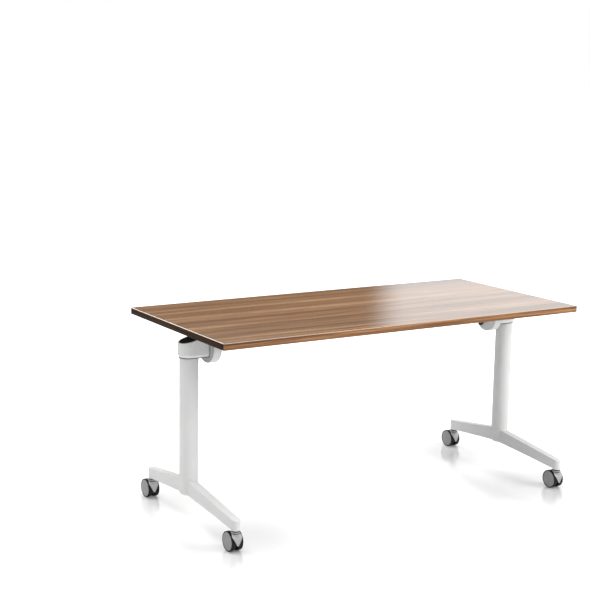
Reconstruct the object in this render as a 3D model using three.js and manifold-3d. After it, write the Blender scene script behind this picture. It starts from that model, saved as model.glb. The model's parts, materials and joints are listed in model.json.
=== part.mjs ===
// Flip top training table: a worktop that tips upright on two column legs with twin-wheel casters.
// Millimetres, +Z up, +X along the worktop, -Y towards the user, origin on the floor under its centre.
import * as THREE from 'three';
import { mergeVertices } from 'three/addons/utils/BufferGeometryUtils.js';
import Module from 'manifold-3d';

const wasm = await Module();
wasm.setup();

// Worktop
const TOP_LENGTH = 1600;
const TOP_DEPTH = 750;
const TOP_THICKNESS = 25;
const TABLE_HEIGHT = 750;
const EDGE_BAND = 2;
const EDGE_ARRIS = 1;

// Fits
const CLEARANCE = 0.3;
const TURNING_CLEARANCE = 0.25;
const CUTTER_OVERRUN = 5;

// Columns
const LEG_INSET = 57;
const LEG_OFFSET = -5;
const COLUMN_DIAMETER = 70;
const COLUMN_WALL = 3;
const COLUMN_FOOT = 164;

// Heads
const PIVOT_DROP = 63;
const HEAD_WALL = 7.3;
const HEAD_REACH = 66;
const HEAD_CORNER = 8;
const HEAD_BELOW_PIVOT = 35;
const HEAD_OUTER_RISE = 17.5;
const HEAD_INNER_RISE = 46;
const HEAD_CHAMFER = 6.5;
const HEAD_CHAMFER_HEIGHT = 10;
const HEAD_DRAFT = 5;
const SOCKET_DEPTH = 33;
const COVER_LIP = 2.5;
const COVER_POCKET = 4;
const COVER_SINK = 0.8;

// Cross tube, which is the hinge shaft
const CROSS_TUBE_DIAMETER = 38;
const CROSS_TUBE_WALL = 2.5;
const TUBE_SEAT_WALL = 2.9;

// Hinge drums, bushes and index discs
const DRUM_RADIUS = 65.5;
const DRUM_RIM = 4.5;
const DRUM_WEB = 23.5;
const DRUM_HEAD_GAP = 3.5;
const DRUM_DISC_GAP = 0.9;
const FLANGE_LENGTH = 50;
const FLANGE_WIDTH = 116;
const FLANGE_THICKNESS = 5;
const FLANGE_CORNER = 10;
const GUSSET_DROP = 30;
const GUSSET_THICKNESS = 6;
const GUSSET_SPACING = 84;
const BUSH_WALL = 2.75;
const BUSH_FLANGE_RADIUS = 27;
const BUSH_FLANGE_THICKNESS = 2.5;
const DISC_THICKNESS = 12;

// Locks
const FLIP_ANGLE = Math.PI / 2;
const PIN_RADIUS = 4;
const PIN_CHAMFER = 1;
const PIN_BEHIND_PIVOT = 14;
const PIN_BELOW_PIVOT = 34;
const PIN_ENGAGED = 3.5;
const SLOT_DEPTH = 4;
const SLOT_CLEARANCE = 0.5;
const POCKET_DEPTH = 8;
const PIN_TRAVEL_TO_LOCK = 4;
const COLLAR_LENGTH = 3;
const COLLAR_WALL = 3.8;
const GUIDE_WALL = 3;
const KNOB_RADIUS = 10;
const KNOB_NECK_RADIUS = 7;
const KNOB_LENGTH = 15.5;
const KNOB_NECK_LENGTH = 4.5;
const KNOB_ROUNDING = 3;
const KNOB_STANDOFF = 0.5;
const KNOB_BORE = 12;
const SPRING_TURNS = 4;
const SPRING_WIRE = 1.4;

// Feet
const FRONT_REACH = 362;
const REAR_REACH = 311;
const ARM_WIDTH_HUB = 40;
const ARM_WIDTH_END = 31;
const ARM_TOP_FRONT = 118;
const ARM_TOP_REAR = 121;
const ARCH_HEIGHT = 108;
const ARCH_CROWN = 45;
const ARM_BOTTOM_END = 83;
const POST_RADIUS = 15;
const POST_OVERLAP = 20;
const HUB_BOTTOM = 106;
const HUB_TIP_RADIUS = 19;
const HUB_SHOULDER = 4;
const SPIGOT_LENGTH = 30;
const PLUG_LENGTH = 12;
const BOLT_RADIUS = 5;
const BOLT_HEAD_RADIUS = 8.5;
const BOLT_HEAD_HEIGHT = 6.3;
const BOLT_RECESS = 8;

// Casters
const CASTER_HEIGHT = 79;
const CASTER_TRAIL = 20;
const WHEEL_RADIUS = 36;
const WHEEL_WIDTH = 17;
const WHEEL_SPACING = 12;
const WHEEL_SHOULDER = 3;
const TREAD_LIP = 1.2;
const CAP_RECESS = 2.5;
const CAP_DOME = 1.6;
const CAP_EDGE = 2.4;
const AXLE_RADIUS = 3;
const AXLE_GRIP = 12;
const STEM_RADIUS = 5;
const STEM_LENGTH = 35;
const STEM_FLANGE_RADIUS = 14;
const STEM_FLANGE = 3.6;
const SWIVEL_PIN_RADIUS = 3.4;
const SWIVEL_PIN_LENGTH = 27;
const COLLAR_RADIUS = 15;
const COLLAR_BAND = 4.2;
const GROOVE_WIDTH = 3;
const GROOVE_DEPTH = 1.8;
const WEB_THICKNESS = 10;
const AXLE_BOSS_RADIUS = 9;
const SHIELD_GAP = 1.5;
const SHIELD_THICKNESS = 3;
const SHIELD_HALF_WIDTH = 20;
const SHIELD_SHOULDER = 60;
const SHIELD_TIP = 26;
const SHIELD_TIP_RADIUS = 5;
const SHIELD_START_ANGLE = THREE.MathUtils.degToRad(105);
const SHIELD_END_ANGLE = THREE.MathUtils.degToRad(205);

// Facets
const FINE = 32;
const MEDIUM = 24;
const WHEEL_FACETS = 20;
const SMALL = 12;
const ARC_STEPS = 4;
const ARRIS_STEPS = 2;
const LONG_ARC_STEPS = 9;
const SPRING_STEPS_PER_TURN = 8;
const SPRING_SIDES = 5;
const WELD = 1e-4;

// Places worked out from the sizes above
const UNDERSIDE = TABLE_HEIGHT - TOP_THICKNESS;
const PIVOT_Z = UNDERSIDE - PIVOT_DROP;
const LEG_X = TOP_LENGTH / 2 - LEG_INSET;
const COLUMN_RADIUS = COLUMN_DIAMETER / 2;
const COLUMN_BORE_RADIUS = COLUMN_RADIUS - COLUMN_WALL;
const SOCKET_RADIUS = COLUMN_RADIUS + CLEARANCE;
const HEAD_RADIUS = SOCKET_RADIUS + HEAD_WALL;
const HEAD_BOTTOM = PIVOT_Z - HEAD_BELOW_PIVOT;
const HEAD_INNER = LEG_X - HEAD_REACH;
const COLUMN_TOP = HEAD_BOTTOM + SOCKET_DEPTH;
const TUBE_RADIUS = CROSS_TUBE_DIAMETER / 2;
const TUBE_SEAT_RADIUS = TUBE_RADIUS + CLEARANCE;
const TUBE_SEAT_END = LEG_X - SOCKET_RADIUS - TUBE_SEAT_WALL;
const TUBE_END = TUBE_SEAT_END - CLEARANCE;
const DISC_FACE = HEAD_INNER - DISC_THICKNESS;
const DRUM_OUTER = HEAD_INNER - DRUM_HEAD_GAP;
const CUP_FLOOR = DISC_FACE - DRUM_DISC_GAP;
const CUP_RADIUS = DRUM_RADIUS - DRUM_RIM;
const DISC_RADIUS = CUP_RADIUS - DRUM_DISC_GAP;
const DRUM_INNER = CUP_FLOOR - DRUM_WEB;
const FLANGE_END = DRUM_INNER - FLANGE_LENGTH;
const BUSH_BORE_RADIUS = TUBE_RADIUS + TURNING_CLEARANCE;
const BUSH_RADIUS = BUSH_BORE_RADIUS + BUSH_WALL;
const PIN_ORBIT = Math.hypot(PIN_BEHIND_PIVOT, PIN_BELOW_PIVOT);
const PIN_ANGLE = Math.atan2(-PIN_BELOW_PIVOT, PIN_BEHIND_PIVOT);
const PIN_TIP = DISC_FACE + PIN_ENGAGED;
const COLLAR_RADIUS_ON_PIN = PIN_RADIUS + COLLAR_WALL;
const COLLAR_OUTER = CUP_FLOOR - PIN_TRAVEL_TO_LOCK;
const COLLAR_INNER = COLLAR_OUTER - COLLAR_LENGTH;
const SPRING_SEAT = DRUM_INNER + GUIDE_WALL;
const KNOB_FACE = DRUM_INNER - PIN_TRAVEL_TO_LOCK - KNOB_STANDOFF;
const KNOB_END = KNOB_FACE - KNOB_LENGTH;
const SPIGOT_TOP = COLUMN_FOOT + SPIGOT_LENGTH;
const SPIGOT_RADIUS = COLUMN_BORE_RADIUS - CLEARANCE;
const PLUG_BOTTOM = SPIGOT_TOP + CLEARANCE;
const PLUG_TOP = PLUG_BOTTOM + PLUG_LENGTH;
const BOLT_SEAT = HUB_BOTTOM + BOLT_RECESS;
const WHEEL_FACE = WHEEL_SPACING / 2;
const TREAD_RADIUS = WHEEL_RADIUS / Math.cos(Math.PI / WHEEL_FACETS);
const CAP_RADIUS = WHEEL_RADIUS - WHEEL_SHOULDER - CLEARANCE;
const COLLAR_TOP = CASTER_HEIGHT - STEM_FLANGE - CLEARANCE;
const GROOVE_TOP = COLLAR_TOP - COLLAR_BAND;
const NECK_TOP = GROOVE_TOP - GROOVE_WIDTH;
const SHIELD_INNER = WHEEL_RADIUS + SHIELD_GAP;
const SHIELD_OUTER = SHIELD_INNER + SHIELD_THICKNESS;

// Finishes
const WALNUT = { color: 0x8b6547, roughness: 0.42, metalness: 0 };
const WALNUT_EDGE = { color: 0x6f4a2e, roughness: 0.5, metalness: 0 };
const WHITE_COAT = { color: 0xe6e6e3, roughness: 0.5, metalness: 0.05 };
const GREY_CAST = { color: 0xc9cacb, roughness: 0.45, metalness: 0.2 };
const GREY_PLASTIC = { color: 0x9a9c9b, roughness: 0.5, metalness: 0 };
const BLACK_PLASTIC = { color: 0x1d1b1b, roughness: 0.55, metalness: 0 };
const TREAD = { color: 0x171616, roughness: 0.7, metalness: 0 };
const STEEL = { color: 0xb4b6b8, roughness: 0.35, metalness: 1 };

// A shape in the Y-Z plane pushed along X, and one in the X-Z plane pushed along -Y
const Y_Z_PLANE = new THREE.Matrix4().makeBasis(
  new THREE.Vector3(0, 1, 0),
  new THREE.Vector3(0, 0, 1),
  new THREE.Vector3(1, 0, 0),
);
const X_Z_PLANE = new THREE.Matrix4().makeBasis(
  new THREE.Vector3(1, 0, 0),
  new THREE.Vector3(0, 0, 1),
  new THREE.Vector3(0, -1, 0),
);

function extrudeZ(shape, from, to, curveSegments = ARC_STEPS) {
  const options = { depth: to - from, bevelEnabled: false, curveSegments };
  return new THREE.ExtrudeGeometry(shape, options).translate(0, 0, from);
}

function extrudeX(shape, from, to, curveSegments = ARC_STEPS) {
  return extrudeZ(shape, from, to, curveSegments).applyMatrix4(Y_Z_PLANE);
}

function extrudeY(shape, from, to, curveSegments = ARC_STEPS) {
  return extrudeZ(shape, -to, -from, curveSegments).applyMatrix4(X_Z_PLANE);
}

// Profiles are [radius, station] pairs from the low station up the outside and back.
function lathe(profile, facets) {
  const points = profile.map(([radius, station]) => new THREE.Vector2(radius, station));
  return new THREE.LatheGeometry(points, facets);
}

function turnZ(profile, facets) {
  return lathe(profile, facets).rotateX(Math.PI / 2);
}

function turnX(profile, facets) {
  return lathe(profile, facets).rotateZ(-Math.PI / 2);
}

function discProfile(radius, from, to) {
  return [[0, from], [radius, from], [radius, to], [0, to]];
}

function ringProfile(inner, outer, from, to) {
  return [[inner, from], [outer, from], [outer, to], [inner, to], [inner, from]];
}

// A solid through closed outlines of like form, given as [shape, height] pairs from the bottom up
function loft(sections) {
  const rings = sections.map(([shape, height]) => {
    const points = shape.getPoints(ARC_STEPS);
    if (points[0].distanceTo(points[points.length - 1]) < WELD) points.pop();
    return { points, height };
  });
  const count = rings[0].points.length;
  const places = rings.flatMap(({ points, height }) => points.flatMap(({ x, y }) => [x, y, height]));
  const last = (rings.length - 1) * count;
  const triangles = [];
  for (let a = 0; a < last; a += 1) {
    const b = a % count === count - 1 ? a + 1 - count : a + 1;
    triangles.push(a, b, b + count, a, b + count, a + count);
  }
  for (const [a, b, c] of THREE.ShapeUtils.triangulateShape(rings[0].points, [])) {
    triangles.push(c, b, a, last + a, last + b, last + c);
  }
  const geometry = new THREE.BufferGeometry();
  geometry.setAttribute('position', new THREE.Float32BufferAttribute(places, 3));
  geometry.setIndex(triangles);
  return geometry;
}

// A closed geometry as a solid, without the slivers that collapse on a lathe's axis.
function solid(geometry) {
  const bare = geometry.clone();
  for (const extra of ['normal', 'uv']) bare.deleteAttribute(extra);
  const { attributes, index } = mergeVertices(bare, WELD);
  const triangles = [];
  for (let i = 0; i < index.count; i += 3) {
    const corners = [index.getX(i), index.getX(i + 1), index.getX(i + 2)];
    if (new Set(corners).size === corners.length) triangles.push(...corners);
  }
  const mesh = new wasm.Mesh({
    numProp: 3,
    vertProperties: new Float32Array(attributes.position.array),
    triVerts: new Uint32Array(triangles),
  });
  return new wasm.Manifold(mesh);
}

function join(...geometries) {
  return geometries.map(solid).reduce((whole, next) => whole.add(next));
}

function cut(whole, ...cutters) {
  return cutters.map(solid).reduce((left, cutter) => left.subtract(cutter), whole);
}

function geometryOf(shell) {
  const { vertProperties, triVerts } = shell.getMesh();
  const indexed = new THREE.BufferGeometry();
  indexed.setAttribute('position', new THREE.BufferAttribute(vertProperties, 3));
  indexed.setIndex(new THREE.BufferAttribute(triVerts, 1));
  const geometry = indexed.toNonIndexed();
  geometry.computeVertexNormals();
  return geometry;
}

function piece(name, shape, finish) {
  const geometry = shape.isBufferGeometry ? shape : geometryOf(shape);
  const mesh = new THREE.Mesh(geometry, new THREE.MeshStandardMaterial(finish));
  mesh.name = name;
  return mesh;
}

// Worktop panel with an edge strip on each side; the long strips cover the ends of the short ones
function edgeStrip(length) {
  const arris = Math.min(EDGE_ARRIS, EDGE_BAND);
  const face = EDGE_BAND - arris;
  const profile = new THREE.Shape();
  profile.moveTo(0, 0);
  profile.lineTo(0, TOP_THICKNESS);
  profile.lineTo(-face, TOP_THICKNESS);
  profile.absarc(-face, TOP_THICKNESS - arris, arris, Math.PI / 2, Math.PI);
  profile.lineTo(-EDGE_BAND, arris);
  profile.absarc(-face, arris, arris, Math.PI, 1.5 * Math.PI);
  return extrudeX(profile, -length / 2, length / 2, ARRIS_STEPS);
}

function worktop() {
  const group = new THREE.Group();
  group.position.z = UNDERSIDE;
  const panelLength = TOP_LENGTH - 2 * EDGE_BAND;
  const panelDepth = TOP_DEPTH - 2 * EDGE_BAND;
  const panel = new THREE.BoxGeometry(panelLength, panelDepth, TOP_THICKNESS);
  panel.translate(0, 0, TOP_THICKNESS / 2);
  group.add(piece('worktop_panel', panel, WALNUT));
  const sides = [
    ['front', 0, TOP_LENGTH, panelDepth / 2],
    ['right', 1, panelDepth, panelLength / 2],
    ['back', 2, TOP_LENGTH, panelDepth / 2],
    ['left', 3, panelDepth, panelLength / 2],
  ];
  for (const [side, quarterTurns, length, distance] of sides) {
    const strip = edgeStrip(length).translate(0, -distance, 0);
    const mesh = piece(`${side}_edge_band`, strip, WALNUT_EDGE);
    mesh.rotation.z = quarterTurns * Math.PI / 2;
    group.add(mesh);
  }
  return group;
}

// The plan of a head: round about the column, flat at the inner end, drawn in by margins
function headPlan(margin, endMargin = 0) {
  const radius = HEAD_RADIUS - margin;
  const corner = HEAD_CORNER * radius / HEAD_RADIUS;
  const inner = HEAD_REACH - endMargin;
  const plan = new THREE.Shape();
  plan.moveTo(0, radius);
  plan.lineTo(-inner + corner, radius);
  plan.absarc(-inner + corner, radius - corner, corner, Math.PI / 2, Math.PI);
  plan.lineTo(-inner, -radius + corner);
  plan.absarc(-inner + corner, -radius + corner, corner, Math.PI, 1.5 * Math.PI);
  plan.lineTo(0, -radius);
  plan.absarc(0, 0, radius, -Math.PI / 2, 0);
  plan.absarc(0, 0, radius, 0, Math.PI / 2);
  return plan;
}

// Everything above a head's slanted top plane, lowered by a drop
function aboveSlant(drop) {
  const outerX = LEG_X + HEAD_RADIUS;
  const outerZ = PIVOT_Z + HEAD_OUTER_RISE - drop;
  const innerZ = PIVOT_Z + HEAD_INNER_RISE - drop;
  const slope = (innerZ - outerZ) / (HEAD_INNER - outerX);
  const past = HEAD_REACH;
  const shape = new THREE.Shape();
  shape.moveTo(outerX + past, outerZ + slope * past);
  shape.lineTo(outerX + past, TABLE_HEIGHT + past);
  shape.lineTo(HEAD_INNER - past, TABLE_HEIGHT + past);
  shape.lineTo(HEAD_INNER - past, innerZ - slope * past);
  return extrudeY(shape, -2 * HEAD_RADIUS, 2 * HEAD_RADIUS);
}

// The opening of a head's cover, inside the drafted wall, less a clearance
function coverPrism(clearance) {
  const margin = HEAD_DRAFT + COVER_LIP + clearance;
  return extrudeZ(headPlan(margin, margin), HEAD_BOTTOM, TABLE_HEIGHT).translate(LEG_X, 0, 0);
}

function headCasting() {
  const blank = loft([
    [headPlan(HEAD_CHAMFER), HEAD_BOTTOM],
    [headPlan(0), HEAD_BOTTOM + HEAD_CHAMFER_HEIGHT],
    [headPlan(HEAD_DRAFT), UNDERSIDE],
  ]).translate(LEG_X, 0, 0);
  const coverPocket = solid(coverPrism(0));
  const columnSocket = turnZ(
    discProfile(SOCKET_RADIUS, HEAD_BOTTOM - CUTTER_OVERRUN, COLUMN_TOP),
    FINE,
  ).translate(LEG_X, 0, 0);
  const tubeSocket = turnX(
    discProfile(TUBE_SEAT_RADIUS, HEAD_INNER - CUTTER_OVERRUN, TUBE_SEAT_END),
    MEDIUM,
  ).translate(0, 0, PIVOT_Z);
  return cut(solid(blank), aboveSlant(0), columnSocket, tubeSocket)
    .subtract(coverPocket.intersect(solid(aboveSlant(COVER_POCKET))));
}

function headCover() {
  const plate = solid(coverPrism(CLEARANCE));
  return plate
    .intersect(solid(aboveSlant(COVER_POCKET - CLEARANCE)))
    .subtract(solid(aboveSlant(COVER_SINK)));
}

// Half-moon drum under the worktop, open towards the head, with a flange and two gussets
function hingeDrum() {
  const halfMoon = new THREE.Shape();
  halfMoon.moveTo(DRUM_RADIUS, PIVOT_DROP);
  halfMoon.lineTo(-DRUM_RADIUS, PIVOT_DROP);
  halfMoon.lineTo(-DRUM_RADIUS, 0);
  halfMoon.absarc(0, 0, DRUM_RADIUS, Math.PI, 2 * Math.PI);
  const body = extrudeX(halfMoon, DRUM_INNER, DRUM_OUTER, LONG_ARC_STEPS);

  const halfWidth = FLANGE_WIDTH / 2;
  const plan = new THREE.Shape();
  plan.moveTo(DRUM_INNER + CUTTER_OVERRUN, -halfWidth);
  plan.lineTo(DRUM_INNER + CUTTER_OVERRUN, halfWidth);
  plan.lineTo(FLANGE_END + FLANGE_CORNER, halfWidth);
  plan.absarc(FLANGE_END + FLANGE_CORNER, halfWidth - FLANGE_CORNER, FLANGE_CORNER, Math.PI / 2, Math.PI);
  plan.lineTo(FLANGE_END, -halfWidth + FLANGE_CORNER);
  plan.absarc(FLANGE_END + FLANGE_CORNER, -halfWidth + FLANGE_CORNER, FLANGE_CORNER, Math.PI, 1.5 * Math.PI);
  const flange = extrudeZ(plan, PIVOT_DROP - FLANGE_THICKNESS, PIVOT_DROP);

  const gussetFoot = PIVOT_DROP - FLANGE_THICKNESS / 2;
  const gusset = new THREE.Shape();
  gusset.moveTo(DRUM_INNER + CUTTER_OVERRUN, gussetFoot);
  gusset.lineTo(FLANGE_END + FLANGE_CORNER, gussetFoot);
  gusset.lineTo(DRUM_INNER, gussetFoot - GUSSET_DROP);
  gusset.lineTo(DRUM_INNER + CUTTER_OVERRUN, gussetFoot - GUSSET_DROP);
  const gussets = [-GUSSET_SPACING / 2, GUSSET_SPACING / 2].map((y) =>
    extrudeY(gusset, y - GUSSET_THICKNESS / 2, y + GUSSET_THICKNESS / 2));

  const cup = turnX(discProfile(CUP_RADIUS, CUP_FLOOR, DRUM_OUTER + CUTTER_OVERRUN), FINE);
  const bore = turnX(
    discProfile(BUSH_RADIUS + CLEARANCE, DRUM_INNER - CUTTER_OVERRUN, CUP_FLOOR + CUTTER_OVERRUN),
    MEDIUM,
  );
  const pinBore = turnX(
    discProfile(PIN_RADIUS + CLEARANCE, DRUM_INNER - CUTTER_OVERRUN, CUP_FLOOR + CUTTER_OVERRUN),
    SMALL,
  );
  const springBore = turnX(
    discProfile(COLLAR_RADIUS_ON_PIN + SLOT_CLEARANCE, SPRING_SEAT, CUP_FLOOR + CUTTER_OVERRUN),
    SMALL,
  );
  for (const hole of [pinBore, springBore]) hole.translate(0, PIN_BEHIND_PIVOT, -PIN_BELOW_PIVOT);
  const drum = cut(join(body, flange, ...gussets), cup, bore, pinBore, springBore);
  return geometryOf(drum).translate(0, 0, PIVOT_Z);
}

function hingeBush() {
  const flangeStart = DRUM_INNER - BUSH_FLANGE_THICKNESS;
  const profile = [
    [BUSH_BORE_RADIUS, flangeStart],
    [BUSH_FLANGE_RADIUS, flangeStart],
    [BUSH_FLANGE_RADIUS, DRUM_INNER],
    [BUSH_RADIUS, DRUM_INNER],
    [BUSH_RADIUS, CUP_FLOOR],
    [BUSH_BORE_RADIUS, CUP_FLOOR],
    [BUSH_BORE_RADIUS, flangeStart],
  ];
  return turnX(profile, MEDIUM).translate(0, 0, PIVOT_Z);
}

// Disc on the head's inner end: the lock pin runs in its arc slot and drops into a pocket at each end
function indexDisc() {
  const disc = turnX(ringProfile(TUBE_SEAT_RADIUS, DISC_RADIUS, DISC_FACE, HEAD_INNER), FINE);
  const start = PIN_ANGLE;
  const end = PIN_ANGLE + FLIP_ANGLE;
  const halfWidth = PIN_RADIUS + SLOT_CLEARANCE;
  const atAngle = (angle) => [PIN_ORBIT * Math.cos(angle), PIN_ORBIT * Math.sin(angle)];
  const slot = new THREE.Shape();
  slot.absarc(0, 0, PIN_ORBIT + halfWidth, start, end, false);
  slot.absarc(...atAngle(end), halfWidth, end, end + Math.PI, false);
  slot.absarc(0, 0, PIN_ORBIT - halfWidth, end, start, true);
  slot.absarc(...atAngle(start), halfWidth, start + Math.PI, start + 2 * Math.PI, false);
  const slotCutter = extrudeX(slot, DISC_FACE - CUTTER_OVERRUN, DISC_FACE + SLOT_DEPTH);
  const pockets = [start, end].map((angle) => turnX(
    discProfile(PIN_RADIUS + CLEARANCE, DISC_FACE - CUTTER_OVERRUN, DISC_FACE + POCKET_DEPTH),
    SMALL,
  ).translate(0, ...atAngle(angle)));
  const shape = cut(solid(disc), slotCutter, ...pockets);
  return geometryOf(shape).translate(0, 0, PIVOT_Z);
}

// Spring-loaded lock pin with its release knob; stations run along X, positive towards the head
function lockPin() {
  const profile = [
    [0, KNOB_FACE - KNOB_BORE],
    [PIN_RADIUS, KNOB_FACE - KNOB_BORE],
    [PIN_RADIUS, COLLAR_INNER],
    [COLLAR_RADIUS_ON_PIN, COLLAR_INNER],
    [COLLAR_RADIUS_ON_PIN, COLLAR_OUTER],
    [PIN_RADIUS, COLLAR_OUTER],
    [PIN_RADIUS, PIN_TIP - PIN_CHAMFER],
    [PIN_RADIUS - PIN_CHAMFER, PIN_TIP],
    [0, PIN_TIP],
  ];
  return turnX(profile, SMALL);
}

function lockKnob() {
  const boreEnd = KNOB_FACE - KNOB_BORE - CLEARANCE;
  const neckStart = KNOB_FACE - KNOB_NECK_LENGTH;
  const profile = [
    [0, KNOB_END],
    [KNOB_RADIUS - KNOB_ROUNDING, KNOB_END],
    [KNOB_RADIUS, KNOB_END + KNOB_ROUNDING],
    [KNOB_RADIUS, neckStart - KNOB_ROUNDING],
    [KNOB_NECK_RADIUS, neckStart],
    [KNOB_NECK_RADIUS, KNOB_FACE],
    [PIN_RADIUS + CLEARANCE, KNOB_FACE],
    [PIN_RADIUS + CLEARANCE, boreEnd],
    [0, boreEnd],
  ];
  return turnX(profile, SMALL);
}

class Helix extends THREE.Curve {
  constructor(radius, from, to, turns) {
    super();
    Object.assign(this, { radius, from, to, turns });
  }

  getPoint(t, target = new THREE.Vector3()) {
    const angle = 2 * Math.PI * this.turns * t;
    const along = THREE.MathUtils.lerp(this.from, this.to, t);
    return target.set(along, this.radius * Math.cos(angle), this.radius * Math.sin(angle));
  }
}

// Least distance between a coil's neighbouring turns, less the wire, measured on its points
function leastCoilGap(coil, wire) {
  const perTurn = 48;
  const points = coil.getPoints(perTurn * coil.turns);
  let least = Infinity;
  points.forEach((a, i) => points.slice(i + perTurn / 2).forEach((b) => {
    least = Math.min(least, a.distanceTo(b) - wire);
  }));
  return least;
}

function lockSpring() {
  const radius = PIN_RADIUS + COLLAR_WALL / 2 + CLEARANCE;
  const endGap = SPRING_WIRE / 2 + CLEARANCE;
  const coil = new Helix(radius, SPRING_SEAT + endGap, COLLAR_INNER - endGap, SPRING_TURNS);
  console.log(`lock spring: least gap between turns ${leastCoilGap(coil, SPRING_WIRE).toFixed(2)} mm`);
  const wire = Array.from({ length: SPRING_SIDES }, (_, i) => {
    const angle = 2 * Math.PI * i / SPRING_SIDES;
    return new THREE.Vector2(Math.cos(angle), Math.sin(angle)).multiplyScalar(SPRING_WIRE / 2);
  });
  return new THREE.ExtrudeGeometry(new THREE.Shape(wire), {
    extrudePath: coil,
    steps: SPRING_TURNS * SPRING_STEPS_PER_TURN,
    bevelEnabled: false,
  });
}

// Column tube, and the threaded plug in its lower end that the foot bolt pulls on
function columnTube() {
  return turnZ(ringProfile(COLUMN_BORE_RADIUS, COLUMN_RADIUS, COLUMN_FOOT, COLUMN_TOP), FINE);
}

function columnPlug() {
  const profile = ringProfile(BOLT_RADIUS + CLEARANCE, SPIGOT_RADIUS, PLUG_BOTTOM, PLUG_TOP);
  return turnZ(profile, MEDIUM);
}

function footBolt() {
  const profile = [
    [0, BOLT_SEAT - BOLT_HEAD_HEIGHT],
    [BOLT_HEAD_RADIUS, BOLT_SEAT - BOLT_HEAD_HEIGHT],
    [BOLT_HEAD_RADIUS, BOLT_SEAT],
    [BOLT_RADIUS, BOLT_SEAT],
    [BOLT_RADIUS, PLUG_TOP],
    [0, PLUG_TOP],
  ];
  return turnZ(profile, SMALL);
}

// Arched foot: a side outline crossed with a tapering plan, plus hub, spigot and caster posts
function footCasting() {
  const endRadius = ARM_WIDTH_END / 2;
  const frontEnd = -FRONT_REACH - endRadius;
  const rearEnd = REAR_REACH + endRadius;
  const side = new THREE.Shape();
  side.moveTo(frontEnd, ARM_BOTTOM_END);
  side.lineTo(-FRONT_REACH + endRadius, ARM_BOTTOM_END);
  side.quadraticCurveTo(-ARCH_CROWN, ARCH_HEIGHT, 0, ARCH_HEIGHT);
  side.quadraticCurveTo(ARCH_CROWN, ARCH_HEIGHT, REAR_REACH - endRadius, ARM_BOTTOM_END);
  side.lineTo(rearEnd, ARM_BOTTOM_END);
  side.lineTo(rearEnd, ARM_TOP_REAR);
  side.lineTo(0, COLUMN_FOOT);
  side.lineTo(frontEnd, ARM_TOP_FRONT);
  const plan = new THREE.Shape();
  plan.moveTo(ARM_WIDTH_HUB / 2, 0);
  plan.absarc(0, REAR_REACH, endRadius, 0, Math.PI);
  plan.lineTo(-ARM_WIDTH_HUB / 2, 0);
  plan.absarc(0, -FRONT_REACH, endRadius, Math.PI, 2 * Math.PI);
  const arms = solid(extrudeX(side, -ARM_WIDTH_HUB, ARM_WIDTH_HUB, LONG_ARC_STEPS))
    .intersect(solid(extrudeZ(plan, 0, COLUMN_TOP)));

  const hub = turnZ([
    [0, HUB_BOTTOM],
    [HUB_TIP_RADIUS, HUB_BOTTOM],
    [COLUMN_RADIUS, COLUMN_FOOT - HUB_SHOULDER],
    [COLUMN_RADIUS, COLUMN_FOOT],
    [SPIGOT_RADIUS, COLUMN_FOOT],
    [SPIGOT_RADIUS, SPIGOT_TOP],
    [0, SPIGOT_TOP],
  ], MEDIUM);
  let foot = arms.add(solid(hub));
  for (const y of [-FRONT_REACH, REAR_REACH]) {
    const postProfile = discProfile(POST_RADIUS, CASTER_HEIGHT, ARM_BOTTOM_END + POST_OVERLAP);
    const stemHole = discProfile(
      STEM_RADIUS + CLEARANCE,
      CASTER_HEIGHT - CUTTER_OVERRUN,
      CASTER_HEIGHT + STEM_LENGTH + CLEARANCE,
    );
    foot = foot.add(solid(turnZ(postProfile, MEDIUM).translate(0, y, 0)));
    foot = foot.subtract(solid(turnZ(stemHole, SMALL).translate(0, y, 0)));
  }
  const boltHole = turnZ([
    [0, HUB_BOTTOM - CUTTER_OVERRUN],
    [BOLT_HEAD_RADIUS + CLEARANCE, HUB_BOTTOM - CUTTER_OVERRUN],
    [BOLT_HEAD_RADIUS + CLEARANCE, BOLT_SEAT],
    [BOLT_RADIUS + CLEARANCE, BOLT_SEAT],
    [BOLT_RADIUS + CLEARANCE, SPIGOT_TOP + CUTTER_OVERRUN],
    [0, SPIGOT_TOP + CUTTER_OVERRUN],
  ], SMALL);
  return cut(foot, boltHole);
}

// Caster pieces stand about the stem's axis, trailing along +Y
function casterStem() {
  const flangeBottom = CASTER_HEIGHT - STEM_FLANGE;
  const profile = [
    [0, flangeBottom - SWIVEL_PIN_LENGTH],
    [SWIVEL_PIN_RADIUS, flangeBottom - SWIVEL_PIN_LENGTH],
    [SWIVEL_PIN_RADIUS, flangeBottom],
    [STEM_FLANGE_RADIUS, flangeBottom],
    [STEM_FLANGE_RADIUS, CASTER_HEIGHT],
    [STEM_RADIUS, CASTER_HEIGHT],
    [STEM_RADIUS, CASTER_HEIGHT + STEM_LENGTH],
    [0, CASTER_HEIGHT + STEM_LENGTH],
  ];
  return turnZ(profile, SMALL);
}

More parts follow.
